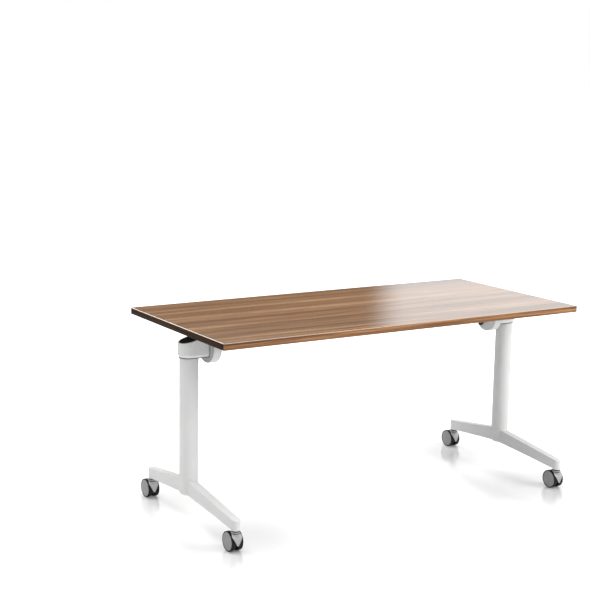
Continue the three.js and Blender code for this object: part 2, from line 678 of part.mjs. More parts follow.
function casterHood() {
  const collar = turnZ([
    [0, WHEEL_RADIUS],
    [COLLAR_RADIUS, WHEEL_RADIUS],
    [COLLAR_RADIUS, NECK_TOP],
    [COLLAR_RADIUS - GROOVE_DEPTH, NECK_TOP],
    [COLLAR_RADIUS - GROOVE_DEPTH, GROOVE_TOP],
    [COLLAR_RADIUS, GROOVE_TOP],
    [COLLAR_RADIUS, COLLAR_TOP],
    [0, COLLAR_TOP],
  ], WHEEL_FACETS);
  const wheelSpace = turnX(discProfile(SHIELD_INNER, -2 * WHEEL_WIDTH, 2 * WHEEL_WIDTH), MEDIUM)
    .translate(0, CASTER_TRAIL, WHEEL_RADIUS);

  const band = new THREE.Shape();
  band.absarc(0, 0, SHIELD_OUTER, SHIELD_START_ANGLE, SHIELD_END_ANGLE, false);
  band.absarc(0, 0, SHIELD_INNER, SHIELD_END_ANGLE, SHIELD_START_ANGLE, true);
  const shell = extrudeX(band, -SHIELD_HALF_WIDTH, SHIELD_HALF_WIDTH)
    .translate(0, CASTER_TRAIL, WHEEL_RADIUS);
  const tongue = new THREE.Shape();
  tongue.moveTo(COLLAR_RADIUS - GROOVE_DEPTH, COLLAR_TOP);
  tongue.lineTo(-COLLAR_RADIUS + GROOVE_DEPTH, COLLAR_TOP);
  tongue.lineTo(-SHIELD_HALF_WIDTH, SHIELD_SHOULDER);
  tongue.absarc(0, SHIELD_TIP + SHIELD_TIP_RADIUS, SHIELD_TIP_RADIUS, Math.PI, 2 * Math.PI);
  tongue.lineTo(SHIELD_HALF_WIDTH, SHIELD_SHOULDER);
  const front = extrudeY(tongue, -2 * SHIELD_OUTER, CASTER_TRAIL);
  const shield = solid(shell).intersect(solid(front));

  const web = new THREE.Shape();
  web.absarc(CASTER_TRAIL, WHEEL_RADIUS, AXLE_BOSS_RADIUS, Math.PI, 2 * Math.PI);
  web.lineTo(COLLAR_RADIUS - GROOVE_DEPTH, GROOVE_TOP);
  web.lineTo(-COLLAR_RADIUS + GROOVE_DEPTH, GROOVE_TOP);
  web.lineTo(-COLLAR_RADIUS + GROOVE_DEPTH, WHEEL_RADIUS + AXLE_BOSS_RADIUS);
  const plate = extrudeX(web, -WEB_THICKNESS / 2, WEB_THICKNESS / 2);

  const swivelBore = turnZ(
    discProfile(
      SWIVEL_PIN_RADIUS + CLEARANCE,
      CASTER_HEIGHT - STEM_FLANGE - SWIVEL_PIN_LENGTH - CLEARANCE,
      COLLAR_TOP + CUTTER_OVERRUN,
    ),
    SMALL,
  );
  const axleBore = turnX(discProfile(AXLE_RADIUS + CLEARANCE, -WEB_THICKNESS, WEB_THICKNESS), SMALL)
    .translate(0, CASTER_TRAIL, WHEEL_RADIUS);
  const hood = cut(solid(collar), wheelSpace).add(shield).add(solid(plate));
  return cut(hood, swivelBore, axleBore);
}

function casterAxle() {
  const half = WHEEL_FACE + AXLE_GRIP;
  return turnX(discProfile(AXLE_RADIUS, -half, half), SMALL);
}

// Wheel on one end of the axle, with a recess for the cap; it stands on one of its flats
function casterWheel() {
  const outer = WHEEL_FACE + WHEEL_WIDTH;
  const recess = outer - CAP_RECESS;
  const boreEnd = WHEEL_FACE + AXLE_GRIP + CLEARANCE;
  const profile = [
    [0, boreEnd],
    [AXLE_RADIUS + CLEARANCE, boreEnd],
    [AXLE_RADIUS + CLEARANCE, WHEEL_FACE],
    [WHEEL_RADIUS - WHEEL_SHOULDER, WHEEL_FACE],
    [TREAD_RADIUS, WHEEL_FACE + WHEEL_SHOULDER],
    [TREAD_RADIUS, outer - WHEEL_SHOULDER],
    [WHEEL_RADIUS - TREAD_LIP, outer],
    [WHEEL_RADIUS - WHEEL_SHOULDER, outer],
    [WHEEL_RADIUS - WHEEL_SHOULDER, recess],
    [0, recess],
  ];
  return turnX(profile, WHEEL_FACETS).rotateX(Math.PI / WHEEL_FACETS);
}

function wheelCap() {
  const seat = WHEEL_FACE + WHEEL_WIDTH - CAP_RECESS;
  const rim = seat + CAP_RECESS;
  const profile = [
    [0, seat],
    [CAP_RADIUS, seat],
    [CAP_RADIUS, rim - CAP_DOME / 2],
    [CAP_RADIUS - CAP_EDGE, rim],
    [0, rim + CAP_DOME],
  ];
  return turnX(profile, WHEEL_FACETS).rotateX(Math.PI / WHEEL_FACETS);
}

const SHAPES = {
  head: headCasting(),
  cover: headCover(),
  drum: hingeDrum(),
  bush: hingeBush(),
  disc: indexDisc(),
  pin: lockPin(),
  knob: lockKnob(),
  spring: lockSpring(),
  column: columnTube(),
  plug: columnPlug(),
  bolt: footBolt(),
  foot: footCasting(),
  stem: casterStem(),
  hood: casterHood(),
  axle: casterAxle(),
  wheel: casterWheel(),
  cap: wheelCap(),
};

function caster(name) {
  const group = new THREE.Group();
  group.add(piece(`${name}_stem`, SHAPES.stem, BLACK_PLASTIC));
  group.add(piece(`${name}_hood`, SHAPES.hood, GREY_PLASTIC));
  const axleLine = new THREE.Group();
  axleLine.position.set(0, CASTER_TRAIL, WHEEL_RADIUS);
  axleLine.add(piece(`${name}_axle`, SHAPES.axle, STEEL));
  for (const [side, turn] of [['outer', 0], ['inner', Math.PI]]) {
    const half = new THREE.Group();
    half.rotation.z = turn;
    half.add(piece(`${name}_${side}_wheel`, SHAPES.wheel, TREAD));
    half.add(piece(`${name}_${side}_cap`, SHAPES.cap, GREY_PLASTIC));
    axleLine.add(half);
  }
  group.add(axleLine);
  return group;
}

// One leg with its half of the hinge; the left one is the mirror image of the right
function leg(side, direction) {
  const group = new THREE.Group();
  group.position.y = LEG_OFFSET;
  group.scale.x = direction;
  group.add(piece(`${side}_head`, SHAPES.head, WHITE_COAT));
  group.add(piece(`${side}_head_cover`, SHAPES.cover, BLACK_PLASTIC));
  group.add(piece(`${side}_drum`, SHAPES.drum, GREY_CAST));
  group.add(piece(`${side}_bush`, SHAPES.bush, BLACK_PLASTIC));
  group.add(piece(`${side}_index_disc`, SHAPES.disc, GREY_CAST));

  const lock = new THREE.Group();
  lock.position.set(0, PIN_BEHIND_PIVOT, PIVOT_Z - PIN_BELOW_PIVOT);
  lock.add(piece(`${side}_lock_pin`, SHAPES.pin, STEEL));
  lock.add(piece(`${side}_lock_knob`, SHAPES.knob, BLACK_PLASTIC));
  lock.add(piece(`${side}_lock_spring`, SHAPES.spring, STEEL));
  group.add(lock);

  const column = new THREE.Group();
  column.position.x = LEG_X;
  column.add(piece(`${side}_column`, SHAPES.column, WHITE_COAT));
  column.add(piece(`${side}_column_plug`, SHAPES.plug, STEEL));
  column.add(piece(`${side}_foot_bolt`, SHAPES.bolt, STEEL));
  column.add(piece(`${side}_foot`, SHAPES.foot, WHITE_COAT));
  for (const [end, y] of [['front', -FRONT_REACH], ['rear', REAR_REACH]]) {
    const wheels = caster(`${end}_${side}`);
    wheels.position.y = y;
    column.add(wheels);
  }
  group.add(column);
  return group;
}

function crossTube() {
  const profile = ringProfile(TUBE_RADIUS - CROSS_TUBE_WALL, TUBE_RADIUS, -TUBE_END, TUBE_END);
  const mesh = piece('cross_tube', turnX(profile, MEDIUM), STEEL);
  mesh.position.set(0, LEG_OFFSET, PIVOT_Z);
  return mesh;
}

const table = new THREE.Group();
table.name = 'flip_top_training_table';
table.add(worktop(), crossTube(), leg('left', -1), leg('right', 1));

export default table;
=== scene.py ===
"""Looks for the flip top training table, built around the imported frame. Metres, +Z up."""
import json
import math

import bmesh
import bpy
from mathutils import Matrix, Vector


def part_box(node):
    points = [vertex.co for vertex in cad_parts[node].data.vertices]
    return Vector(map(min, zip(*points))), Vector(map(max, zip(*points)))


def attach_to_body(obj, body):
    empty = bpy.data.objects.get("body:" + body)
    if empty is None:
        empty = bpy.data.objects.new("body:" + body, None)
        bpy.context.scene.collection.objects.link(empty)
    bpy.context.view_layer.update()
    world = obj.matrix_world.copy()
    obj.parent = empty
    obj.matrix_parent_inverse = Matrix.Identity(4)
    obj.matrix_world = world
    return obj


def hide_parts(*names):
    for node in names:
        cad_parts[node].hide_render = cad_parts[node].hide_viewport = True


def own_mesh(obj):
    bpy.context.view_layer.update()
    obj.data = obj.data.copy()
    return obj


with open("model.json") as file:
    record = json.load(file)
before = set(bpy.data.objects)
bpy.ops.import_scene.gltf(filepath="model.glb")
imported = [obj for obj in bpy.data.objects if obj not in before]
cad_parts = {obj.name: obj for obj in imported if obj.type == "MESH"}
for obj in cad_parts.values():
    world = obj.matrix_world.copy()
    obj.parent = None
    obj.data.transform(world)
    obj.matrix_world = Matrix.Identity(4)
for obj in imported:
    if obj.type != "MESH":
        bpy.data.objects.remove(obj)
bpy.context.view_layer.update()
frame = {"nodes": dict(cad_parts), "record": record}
NODES = frame["nodes"]
BODIES = frame["record"]["behaviour"]["bodies"]
BODY_OF = {node: body for body, members in BODIES.items() for node in members}
SCENE = bpy.context.scene
MM = 0.001
SIDES = {"left": -1, "right": 1}
CORNERS = [(end, side) for end in ("front", "rear") for side in SIDES]
WHITE = (1.0, 1.0, 1.0)


def box_of(node):
    """A CAD node's lowest and highest corner."""
    low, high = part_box(node)
    return Vector(low), Vector(high)


def middle_of(node):
    low, high = box_of(node)
    return (low + high) / 2


# Places that the frame gives; the left side mirrors the right one
UNDERSIDE = box_of("worktop_panel")[0].z
TABLE_TOP = box_of("worktop_panel")[1].z
LEG_X, LEG_Y = middle_of("right_column").xy
HEAD_BASE = box_of("right_head")[0].z
PIVOT_Z = middle_of("cross_tube").z
DISC_FACE = box_of("right_index_disc")[1].x
FRONT_AXLE = middle_of("front_right_axle")
REAR_AXLE = middle_of("rear_right_axle")


# Camera at the photograph's viewpoint
CAMERA_PLACE = Vector((-2.9000, -4.2475, 1.6958))
CAMERA_YAW = math.radians(31.557)
CAMERA_PITCH = math.radians(9.981)
CAMERA_ROLL = math.radians(0.974)
CAMERA_LENS = 81.40
SENSOR_WIDTH = 36
CLIP_START, CLIP_END = 0.05, 200


def make_camera():
    forward = Vector((
        math.sin(CAMERA_YAW) * math.cos(CAMERA_PITCH),
        math.cos(CAMERA_YAW) * math.cos(CAMERA_PITCH),
        -math.sin(CAMERA_PITCH),
    ))
    level = Vector((math.cos(CAMERA_YAW), -math.sin(CAMERA_YAW), 0))
    up = level.cross(forward)
    right = level * math.cos(CAMERA_ROLL) + up * math.sin(CAMERA_ROLL)
    top = up * math.cos(CAMERA_ROLL) - level * math.sin(CAMERA_ROLL)
    data = bpy.data.cameras.new("camera")
    data.lens = CAMERA_LENS
    data.sensor_width = SENSOR_WIDTH
    data.clip_start = CLIP_START
    data.clip_end = CLIP_END
    camera = bpy.data.objects.new("camera", data)
    SCENE.collection.objects.link(camera)
    turn = Matrix((right, top, -forward)).transposed().to_4x4()
    camera.matrix_world = Matrix.Translation(CAMERA_PLACE) @ turn
    SCENE.camera = camera


# Sockets of the noise and colour mix nodes
NOISE_FACTOR, NOISE_COLOUR = 0, 1
MIX_FACTOR, MIX_A, MIX_B, MIX_RESULT = 0, 6, 7, 2


class Graph:
    """A node tree with short calls for the nodes used here: the one given, or a new material's."""

    def __init__(self, name="", tree=None):
        self.tree = tree
        if tree is None:
            self.material = bpy.data.materials.new(name)
            self.material.use_nodes = True
            self.tree = self.material.node_tree
            self.shader = self.tree.nodes["Principled BSDF"]

    def node(self, kind, **settings):
        made = self.tree.nodes.new("ShaderNode" + kind)
        for key, value in settings.items():
            setattr(made, key, value)
        return made

    def put(self, socket, value):
        if isinstance(value, bpy.types.NodeSocket):
            self.tree.links.new(value, socket)
        else:
            socket.default_value = value

    def point(self, kind="Object"):
        """The shaded point's coordinates, by axis."""
        split = self.node("SeparateXYZ")
        self.put(split.inputs[0], self.node("TexCoord").outputs[kind])
        return split.outputs

    def place(self, scale=(1, 1, 1), axes="XYZ"):
        """Object coordinates, with the axes put in a new order and scaled."""
        point = self.point()
        joined = self.node("CombineXYZ")
        for i, axis in enumerate(axes):
            self.put(joined.inputs[i], point[axis])
        return self.scaled(joined.outputs[0], scale)

    def scaled(self, vector, scale):
        mapping = self.node("Mapping")
        self.put(mapping.inputs["Vector"], vector)
        self.put(mapping.inputs["Scale"], scale)
        return mapping.outputs[0]

    def noise(self, vector, scale=1.0, detail=3.0, rough=0.5, output=NOISE_FACTOR):
        made = self.node("TexNoise")
        self.put(made.inputs["Vector"], vector)
        self.put(made.inputs["Scale"], scale)
        self.put(made.inputs["Detail"], detail)
        self.put(made.inputs["Roughness"], rough)
        return made.outputs[output]

    def ramp(self, factor, *stops):
        """A colour or a grey level at each of the stops, and a straight run between them."""
        made = self.node("ValToRGB")
        self.put(made.inputs[0], factor)
        elements = made.color_ramp.elements
        while len(elements) < len(stops):
            elements.new(0.5)
        for element, (position, colour) in zip(elements, stops):
            element.position = position
            level = colour if hasattr(colour, "__len__") else (colour,) * 3
            element.color = (*level, 1)
        return made.outputs[0]

    def span(self, value, low, high, from_level=0.0, to_level=1.0):
        """A smooth rise of a value from one level to another."""
        made = self.node("MapRange", interpolation_type="SMOOTHSTEP")
        for index, item in enumerate((value, low, high, from_level, to_level)):
            self.put(made.inputs[index], item)
        return made.outputs[0]

    def mix(self, factor, a, b, blend="MIX"):
        made = self.node("Mix", data_type="RGBA", blend_type=blend)
        self.put(made.inputs[MIX_FACTOR], factor)
        for index, value in ((MIX_A, a), (MIX_B, b)):
            if not isinstance(value, bpy.types.NodeSocket):
                value = (*value, 1)
            self.put(made.inputs[index], value)
        return made.outputs[MIX_RESULT]

    def maths(self, operation, *values):
        made = self.node("Math", operation=operation)
        for socket, value in zip(made.inputs, values):
            self.put(socket, value)
        return made.outputs[0]

    def vectors(self, operation, *values):
        made = self.node("VectorMath", operation=operation)
        for socket, value in zip(made.inputs, values):
            self.put(socket, value)
        return made.outputs

    def shift(self, vector, amount, by):
        """A vector moved by a noise colour, centred on zero."""
        centred = self.vectors("SUBTRACT", by, (0.5, 0.5, 0.5))[0]
        move = self.vectors("MULTIPLY", centred, amount)[0]
        return self.vectors("ADD", vector, move)[0]

    def bump(self, height, distance, strength):
        made = self.node("Bump")
        self.put(made.inputs["Height"], height)
        self.put(made.inputs["Distance"], distance)
        self.put(made.inputs["Strength"], strength)
        self.put(self.shader.inputs["Normal"], made.outputs[0])

    def surface(self, **values):
        for key, value in values.items():
            name = key.replace("_", " ").title().replace("Ior", "IOR")
            self.put(self.shader.inputs[name], value)
        return self.material


# Walnut laminate: cycles a metre along and across the grain, then the noise's detail and roughness
GRAIN = {
    "bands": (0.42, 12.5, 3.0, 0.5),
    "belts": (0.6, 27.0, 3.0, 0.6),
    "streaks": (0.9, 62.0, 4.0, 0.66),
    "threads": (1.8, 230.0, 3.0, 0.66),
    "fibres": (14.0, 760.0, 2.0, 0.6),
    "pores": (26.0, 1250.0, 1.0, 0.5),
}
SWAY_SCALE, SWAY, SWAY_DETAIL = (1.0, 2.4, 2.4), 0.048, 1.0
RIPPLE_SCALE, RIPPLE, RIPPLE_DETAIL = (5.0, 16.0, 16.0), 0.006, 2.0
FIGURE_SHARES = {"streaks": 0.32, "belts": 0.36, "bands": 0.32}
FIGURE_STOPS = (0.40, 0.475, 0.53, 0.60)
THREAD_TINT = (
    (0.39, (0.52, 0.46, 0.41)), (0.46, (0.94, 0.93, 0.92)),
    (0.55, (1.04, 1.03, 1.02)), (0.63, (1.3, 1.28, 1.22)),
)
RING_TINT = ((0.0, (0.66, 0.61, 0.57)), (0.5, WHITE), (1.0, (1.08, 1.07, 1.05)))
FIBRE_TINT = ((0.3, (0.82, 0.80, 0.78)), (0.64, (1.1, 1.1, 1.1)))
PORE_TINT = ((0.61, WHITE), (0.70, (0.5, 0.46, 0.42)))
THREAD_SHARE, RING_SHARE, FIBRE_SHARE, PORE_SHARE = 0.9, 0.75, 0.8, 0.5
RING_RATE, RING_JITTER = 130.0, 0.05
ROUGHNESS_SHARES = ((0.3, 1.3), (0.7, 0.75))
FIBRE_DEPTH, FIBRE_STRENGTH = 0.00005, 0.5
# A painted highlight on the upper arris of the edge bands, by height, pale with a little fibre
# grain in it
ARRIS_HIGHLIGHT = (0.86, 0.79, 0.71)
ARRIS_HIGHLIGHT_TOP = (TABLE_TOP - 2.1 * MM, TABLE_TOP - 1.6 * MM)
ARRIS_HIGHLIGHT_GRAIN = 0.25
# The panel's dark backing sheet, by height, and the lacquer on the rest of it
BACKING = (0.052, 0.047, 0.043)
BACKING_DIM = tuple(c * 0.8 for c in BACKING)
BACKING_STOPS = (0.4, 0.6)
BACKING_GRAIN, BACKING_DETAIL = 700.0, 2.0
BACKING_FACE = (UNDERSIDE + 1.0 * MM, UNDERSIDE + 0.5 * MM)
BACKING_ROUGHNESS = 0.6
LACQUER = 0.9
LACQUER_IOR = 1.3
LACQUER_ROUGHNESS = 0.1


def walnut(name, axes, tone, roughness, specular, wave=1.0, arris_highlight=0.0, panel=False):
    """Walnut with its grain along the first axis named. A panel has a backing and lacquer."""
    g = Graph(name)
    sway = g.noise(g.place(SWAY_SCALE, axes), detail=SWAY_DETAIL, output=NOISE_COLOUR)
    ripple = g.noise(g.place(RIPPLE_SCALE, axes), detail=RIPPLE_DETAIL, output=NOISE_COLOUR)
    wavy = g.shift(g.place(axes=axes), (0.0, SWAY * wave, 0.0), sway)
    wavy = g.shift(wavy, (0.0, RIPPLE * wave, 0.0), ripple)
    grain = {}
    for layer, (along, across, detail, rough) in GRAIN.items():
        grain[layer] = g.noise(g.scaled(wavy, (along, across, across)), detail=detail, rough=rough)
    figure = 0.0
    for layer, share in FIGURE_SHARES.items():
        figure = g.maths("MULTIPLY_ADD", grain[layer], share, figure)
    colour = g.ramp(figure, *zip(FIGURE_STOPS, tone))
    jitter = g.maths("MULTIPLY", grain["threads"], RING_JITTER)
    rings = g.maths("MULTIPLY", g.maths("ADD", grain["bands"], jitter), RING_RATE)
    ring = g.maths("MULTIPLY_ADD", g.maths("SINE", rings), 0.5, 0.5)
    for factor, tint, share in (
        (grain["threads"], THREAD_TINT, THREAD_SHARE), (ring, RING_TINT, RING_SHARE),
        (grain["fibres"], FIBRE_TINT, FIBRE_SHARE), (grain["pores"], PORE_TINT, PORE_SHARE),
    ):
        colour = g.mix(share, colour, g.ramp(factor, *tint), "MULTIPLY")
    levels = [(stop, roughness * share) for stop, share in ROUGHNESS_SHARES]
    rough = g.ramp(grain["threads"], *levels)
    # Painted highlight: a pale line along the top arris of the band, placed by height
    if arris_highlight:
        highlight_band = g.span(g.point()["Z"], *ARRIS_HIGHLIGHT_TOP)
        highlight_tone = g.mix(g.maths("MULTIPLY", grain["fibres"], ARRIS_HIGHLIGHT_GRAIN), ARRIS_HIGHLIGHT, tone[-1])
        colour = g.mix(g.maths("MULTIPLY", highlight_band, arris_highlight), colour, highlight_tone)
    if panel:
        under = g.span(g.point()["Z"], *BACKING_FACE)
        speck = g.noise(g.place(), BACKING_GRAIN, BACKING_DETAIL)
        backing = g.ramp(speck, *zip(BACKING_STOPS, (BACKING_DIM, BACKING)))
        colour = g.mix(under, colour, backing)
        rough = g.mix(under, rough, (BACKING_ROUGHNESS,) * 3)
        upper = g.maths("SUBTRACT", 1.0, under)
        g.surface(coat_weight=g.maths("MULTIPLY", upper, LACQUER))
        g.surface(coat_ior=LACQUER_IOR, coat_roughness=LACQUER_ROUGHNESS)
    g.bump(grain["fibres"], FIBRE_DEPTH, FIBRE_STRENGTH)
    return g.surface(base_color=colour, roughness=rough, specular_ior_level=specular)


MIDDLE_STOPS = (0.35, 0.65)
CLOUD_SCALE = 7.0
CLOUD_STOPS = (0.36, 0.64)
COAT_DETAIL, COAT_FINENESS = 2.0, 0.6
COAT_SPECK = ((0.30, (0.95, 0.95, 0.95)), (0.5, WHITE))
COAT_ROUGHNESS_DRIFT = 0.05
COAT_BUMP = 0.6


def coated(name, colour, roughness, grain, depth, metallic=0.0, drift=0.965, specular=0.5):
    """A coat, casting or moulding with a fine texture and a slight drift of tone."""
    g = Graph(name)
    cloud = g.noise(g.place(), CLOUD_SCALE)
    dim = tuple(c * drift for c in colour)
    tone = g.ramp(cloud, *zip(CLOUD_STOPS, (dim, colour)))
    fine = g.noise(g.place(), grain, COAT_DETAIL, COAT_FINENESS)
    tone = g.mix(1.0, tone, g.ramp(fine, *COAT_SPECK), "MULTIPLY")
    low, high = roughness - COAT_ROUGHNESS_DRIFT, roughness + COAT_ROUGHNESS_DRIFT
    rough = g.ramp(fine, *zip(MIDDLE_STOPS, (low, high)))
    g.bump(fine, depth, COAT_BUMP)
    g.surface(metallic=metallic, specular_ior_level=specular)
    return g.surface(base_color=tone, roughness=rough)


DRAWN_LINES = (20.0, 2600.0, 2600.0)
DRAWN_DETAIL = 2.0
DRAWN_DIM = 0.82
DRAWN_CLOUD_SCALE = 9.0
DRAWN_ROUGHNESS_DRIFT = 0.06
DRAWN_DEPTH, DRAWN_BUMP = 0.00001, 0.4


def brushed(name, colour, roughness):
    """Drawn steel with fine lines along X."""
    g = Graph(name)
    lines = g.noise(g.place(DRAWN_LINES), detail=DRAWN_DETAIL)
    cloud = g.noise(g.place(), DRAWN_CLOUD_SCALE, DRAWN_DETAIL)
    dim = tuple(c * DRAWN_DIM for c in colour)
    tone = g.ramp(lines, *zip(MIDDLE_STOPS, (dim, colour)))
    low, high = roughness - DRAWN_ROUGHNESS_DRIFT, roughness + DRAWN_ROUGHNESS_DRIFT
    rough = g.ramp(cloud, *zip(MIDDLE_STOPS, (low, high)))
    g.bump(lines, DRAWN_DEPTH, DRAWN_BUMP)
    return g.surface(base_color=tone, roughness=rough, metallic=1.0)


# Dark, middle, light and pale walnut of the panel and of the edge bands
WALNUT_TONE = (
    (0.088, 0.041, 0.019), (0.185, 0.093, 0.043), (0.28, 0.152, 0.075), (0.435, 0.267, 0.15),
)
FRONT_TONE = (
    (0.092, 0.041, 0.017), (0.212, 0.1, 0.041), (0.333, 0.162, 0.068), (0.49, 0.255, 0.114),
)
END_TONE = (
    (0.027, 0.0135, 0.006), (0.044, 0.0225, 0.0102), (0.058, 0.03, 0.014), (0.08, 0.044, 0.022),
)
EDGE_WAVE = 0.3
COAT_WHITE = (0.775, 0.775, 0.77)

LOOKS = {
    "worktop": walnut("walnut_top", "XYZ", WALNUT_TONE, 0.105, 0.22, panel=True),
    # The edge bands get a painted highlight line along their top arris
    "front_edge": walnut("walnut_front_edge", "XZY", FRONT_TONE, 0.46, 0.3, EDGE_WAVE, arris_highlight=0.4),
    "end_edge": walnut("walnut_end_edge", "YZX", END_TONE, 0.6, 0.1, EDGE_WAVE, arris_highlight=1.0),
    "white_tube": coated("white_tube", COAT_WHITE, 0.40, 1100.0, 0.00003),
    "white_cast": coated("white_cast", COAT_WHITE, 0.44, 620.0, 0.00007),
    "grey_cast": coated("grey_cast", (0.58, 0.58, 0.58), 0.45, 620.0, 0.00007),
    "grey_plastic": coated("grey_plastic", (0.41, 0.415, 0.415), 0.42, 1000.0, 0.00005),
    "cap_grey": coated("cap_grey", (0.31, 0.315, 0.31), 0.4, 1000.0, 0.00005),
    "black_plastic": coated(
        "black_plastic", (0.012, 0.0115, 0.0115), 0.5, 1200.0, 0.00006, drift=0.8, specular=0.3),
    "tread": coated("tread", (0.006, 0.006, 0.006), 0.5, 500.0, 0.00008, drift=0.75, specular=0.22),
    "steel": brushed("steel", (0.56, 0.57, 0.58), 0.32),
    "zinc": coated("zinc", (0.5, 0.5, 0.49), 0.36, 420.0, 0.00003, metallic=1.0, drift=0.85),
    # Dark grey of the ring of painted shade under each head
    "painted_shade_ring": coated("painted_shade_ring", (0.10, 0.10, 0.102), 0.6, 900.0, 0.00005, drift=0.85),
    "dark_steel": coated(
        "dark_steel", (0.02, 0.02, 0.02), 0.45, 800.0, 0.00003, drift=0.85, specular=0.3),
}
LOOK_OF_ENDING = {
    "worktop_panel": "worktop", "front_edge_band": "front_edge", "back_edge_band": "front_edge",
    "edge_band": "end_edge", "cross_tube": "steel", "head": "white_cast",
    "head_cover": "black_plastic", "drum": "white_cast", "bush": "black_plastic",
    "index_disc": "grey_cast", "lock_pin": "steel", "lock_knob": "black_plastic",
    "lock_spring": "steel", "column": "white_tube", "column_plug": "zinc", "foot_bolt": "zinc",
    "foot": "white_cast", "stem": "dark_steel", "hood": "grey_plastic", "axle": "steel",
    "wheel": "tread", "cap": "cap_grey",
}


def look_of(node):
    for ending in sorted(LOOK_OF_ENDING, key=len, reverse=True):
        if node.endswith(ending):
            return LOOKS[LOOK_OF_ENDING[ending]]
    raise KeyError(node)


JOIN_DISTANCE = 0.00001
SAME_PLACE = 1e-6
CREASE = math.radians(33)


def smooth_group():
    """A modifier's node group: joins split points, then shades smooth up to a crease angle."""
    group = bpy.data.node_groups.new("smooth_by_angle", "GeometryNodeTree")
    group.interface.new_socket("Geometry", in_out="INPUT", socket_type="NodeSocketGeometry")
    group.interface.new_socket("Geometry", in_out="OUTPUT", socket_type="NodeSocketGeometry")
    new = group.nodes.new
    start, end = new("NodeGroupInput"), new("NodeGroupOutput")
    merge = new("GeometryNodeMergeByDistance")
    merge.inputs["Distance"].default_value = JOIN_DISTANCE
    faces = new("GeometryNodeSetShadeSmooth")
    faces.domain = "FACE"
    edges = new("GeometryNodeSetShadeSmooth")
    edges.domain = "EDGE"
    angle = new("GeometryNodeInputMeshEdgeAngle")
    under = new("FunctionNodeCompare")
    under.operation = "LESS_THAN"
    under.inputs[1].default_value = CREASE
    link = group.links.new
    link(start.outputs[0], merge.inputs["Geometry"])
    link(merge.outputs[0], faces.inputs["Geometry"])
    link(faces.outputs[0], edges.inputs["Geometry"])
    link(angle.outputs["Unsigned Angle"], under.inputs[0])
    link(under.outputs[0], edges.inputs["Shade Smooth"])
    link(edges.outputs[0], end.inputs[0])
    return group


SMOOTH = smooth_group()


def dress(obj, look):
    obj.data.materials.clear()
    obj.data.materials.append(look)
    obj.modifiers.new("smooth", "NODES").node_group = SMOOTH


for cad_name, cad_node in NODES.items():
    dress(cad_node, look_of(cad_name))


def adopt(obj, node):
    """Puts a piece in the place of a CAD node, on its body and with its look."""
    dress(obj, look_of(node))
    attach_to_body(obj, BODY_OF[node])
    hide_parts(node)
    return obj


def attach(obj, node, look):
    """Adds a small fitting that rides with a CAD node's body."""
    dress(obj, look)
    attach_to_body(obj, BODY_OF[node])


def as_object(name, mesh):
    data = bpy.data.meshes.new(name)
    bmesh.ops.recalc_face_normals(mesh, faces=mesh.faces)
    mesh.to_mesh(data)
    mesh.free()
    obj = bpy.data.objects.new(name, data)
    SCENE.collection.objects.link(obj)
    return obj


UPRIGHT = Matrix.Rotation(math.radians(-90), 4, "Y")


def upright(x, y, z):
    """A placing with its local X axis up."""
    return Matrix.Translation((x, y, z)) @ UPRIGHT


def facing(sign, x, y, z):
    """A placing with its local X axis towards the side that the sign names."""
    return Matrix.Translation((x, y, z)) @ Matrix.Diagonal((sign, 1, 1, 1))


def lathe_into(mesh, profile, placing, segments):
    """Turns a closed list of (radius, along) points about the local X axis."""
    rings = []
    for step in range(segments):
        angle = 2 * math.pi * step / segments
        ring = []
        for radius, along in profile:
            point = Vector((along, radius * math.cos(angle), radius * math.sin(angle)))
            ring.append(mesh.verts.new(placing @ point))
        rings.append(ring)
    count = len(profile)
    for step in range(segments):
        here, there = rings[step], rings[(step + 1) % segments]
        for i in range(count):
            j = (i + 1) % count
            mesh.faces.new((here[i], here[j], there[j], there[i]))
    bmesh.ops.remove_doubles(mesh, verts=mesh.verts, dist=SAME_PLACE)


def turned(name, profile, placing, segments):
    """A piece of its own made by one lathe."""
    mesh = bmesh.new()
    lathe_into(mesh, profile, placing, segments)
    return as_object(name, mesh)


LONGEST_ROUNDING = 0.45


def rounded(points, radius, steps):
    """A closed (radius, along) outline with each corner rounded by its share of the radius."""
    result = []
    count = len(points)
    for i, (here, share) in enumerate(points):
        corner = Vector(here)
        before = Vector(points[i - 1][0])
        after = Vector(points[(i + 1) % count][0])
        if not share:
            result.append(tuple(corner))
            continue
        shorter = min((before - corner).length, (after - corner).length)
        reach = min(radius * share, shorter * LONGEST_ROUNDING)
        start = corner + (before - corner).normalized() * reach
        end = corner + (after - corner).normalized() * reach
        for step in range(steps + 1):
            t = step / steps
            result.append(tuple(start * (1 - t) ** 2 + corner * 2 * t * (1 - t) + end * t ** 2))
    return result


EASE = 0.5


def softened(node, voxel, passes, extra=None):
    """A copy of a CAD solid, with any extra solid joined on and its edges rounded off."""
    data = NODES[node].data.copy()
    if extra:
        joined = bmesh.new()
        joined.from_mesh(data)
        extra(joined)
        joined.to_mesh(data)
        joined.free()
    obj = bpy.data.objects.new(node + "_cast", data)
    SCENE.collection.objects.link(obj)
    obj.modifiers.new("weld", "WELD").merge_threshold = JOIN_DISTANCE
    remesh = obj.modifiers.new("remesh", "REMESH")
    remesh.mode = "VOXEL"
    remesh.voxel_size = voxel
    ease = obj.modifiers.new("ease", "SMOOTH")
    ease.factor = EASE
    ease.iterations = passes
    graph = bpy.context.evaluated_depsgraph_get()
    data = bpy.data.meshes.new_from_object(obj.evaluated_get(graph))
    obj.modifiers.clear()
    obj.data = data
    data.name = node + "_cast"
    return obj


# Castings and mouldings, with the voxel size and smoothing passes of each
BOSS_OUTLINE = (
    (12, 106.4), (22, 106.4), (28.5, 108.4), (32.2, 112.4), (34.2, 118.5), (34.9, 127),
    (34.9, 163.8), (12, 163.8),
)
BOSS_SEGMENTS = 64
FOOT_SOFTENING = 1.5 * MM, 8
HEAD_SOFTENING = 1.1 * MM, 6
DRUM_SOFTENING = 1.2 * MM, 5
HOOD_SOFTENING = 0.6 * MM, 5


